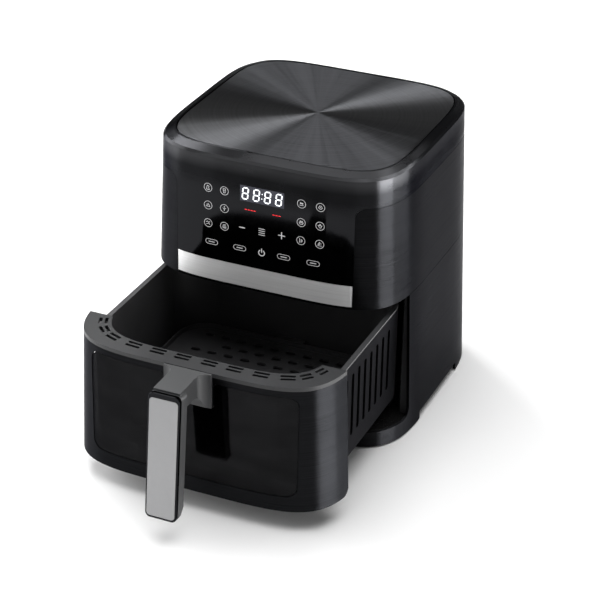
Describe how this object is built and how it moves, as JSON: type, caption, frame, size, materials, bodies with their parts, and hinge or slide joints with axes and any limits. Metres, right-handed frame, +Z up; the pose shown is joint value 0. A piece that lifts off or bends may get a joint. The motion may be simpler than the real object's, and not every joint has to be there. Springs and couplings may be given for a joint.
{
  "type": "air fryer",
  "caption": "Countertop basket air fryer with its windowed drawer pulled out: round-cornered body, touch panel, bar handle, and a pan with a lift-out crisper plate inside.",
  "frame": {"origin": "on the counter, midway between the front of the grip and the rear of the body with the drawer out, on the middle plane", "axes": "+X to the right seen from the front, +Y towards the rear, +Z up; the drawer pulls out towards -Y"},
  "size_m": [0.2754, 0.4801, 0.2888],
  "materials": {
    "shell": "satin with a fine horizontal hairline",
    "gloss": "polished",
    "top": "radially brushed, dark",
    "silver": "horizontal hairline",
    "grip_silver": "satin",
    "grey_trim": "fine texture",
    "black_plastic": "fine texture",
    "smoke_glass": "tinted, polished",
    "clear_glass": "polished",
    "nonstick": "matt non-stick coating",
    "silicone": "matt",
    "rubber": "matt",
    "screw": "zinc plated",
    "sheet": "rolled sheet, dull",
    "alu": "as rolled",
    "wool": "fibrous",
    "element": "heat tinted",
    "wire": "plated wire",
    "motor_iron": "laminated steel, lacquered",
    "white_plastic": "moulded",
    "board": "solder mask",
    "relay_blue": "moulded",
    "cap_yellow": "moulded",
    "lens": "polished",
    "magnet": "nickel plated"
  },
  "bodies": {
    "housing": {"lower_shell": "shell", "upper_shell": "shell", "gloss_housing": "gloss", "top_plate": "top", "silver_strip": "silver", "rear_panel": "black_plastic", "cord_inlet": "black_plastic", "rear_screws": "screw", "base_tray": "black_plastic", "feet": "rubber", "base_screws": "screw", "cavity_liner": "sheet", "cavity_bezel": "black_plastic", "rail_left": "black_plastic", "rail_right": "black_plastic", "reed_switch": "white_plastic", "heat_dome": "alu", "insulation_pad": "wool", "heater_coil": "element", "heater_clips": "sheet", "heater_guard": "wire", "fan_motor": "motor_iron", "motor_bracket": "sheet", "motor_screws": "screw", "exhaust_duct": "alu", "thermal_cutout": "white_plastic", "temperature_probe": "wire", "power_board": "board", "relay": "relay_blue", "filter_capacitor": "cap_yellow", "control_carrier": "white_plastic", "touch_board": "board", "display_module": "lens"},
    "rotor": {"motor_shaft": "wire", "convection_fan": "alu", "cooling_fan": "white_plastic", "shaft_nuts": "screw"},
    "drawer": {"fascia": "gloss", "vent_rim": "grey_trim", "outer_window": "smoke_glass", "cradle": "black_plastic", "pan": "nonstick", "pan_window": "clear_glass", "pan_window_frame": "sheet", "drawer_magnet": "magnet", "handle_body": "grey_trim", "grip_frame": "gloss", "grip_plate": "grip_silver", "handle_screws": "screw"},
    "crisper": {"crisper_plate": "nonstick", "crisper_bumpers": "silicone"}
  },
  "joints": [
    {"name": "drawer_slide", "type": "slide", "parent": "housing", "child": "drawer", "axis": [0, 1, 0], "range_m": [-0.09, 0.1562]},
    {"name": "fan_spin", "type": "hinge", "parent": "housing", "child": "rotor", "pos_m": [0, 0.109, 0.18], "axis": [0, 0, 1], "continuous": true},
    {"name": "crisper_lift", "type": "slide", "parent": "drawer", "child": "crisper", "axis": [0, 0, 1], "range_m": [0, 0.08]}
  ]
}
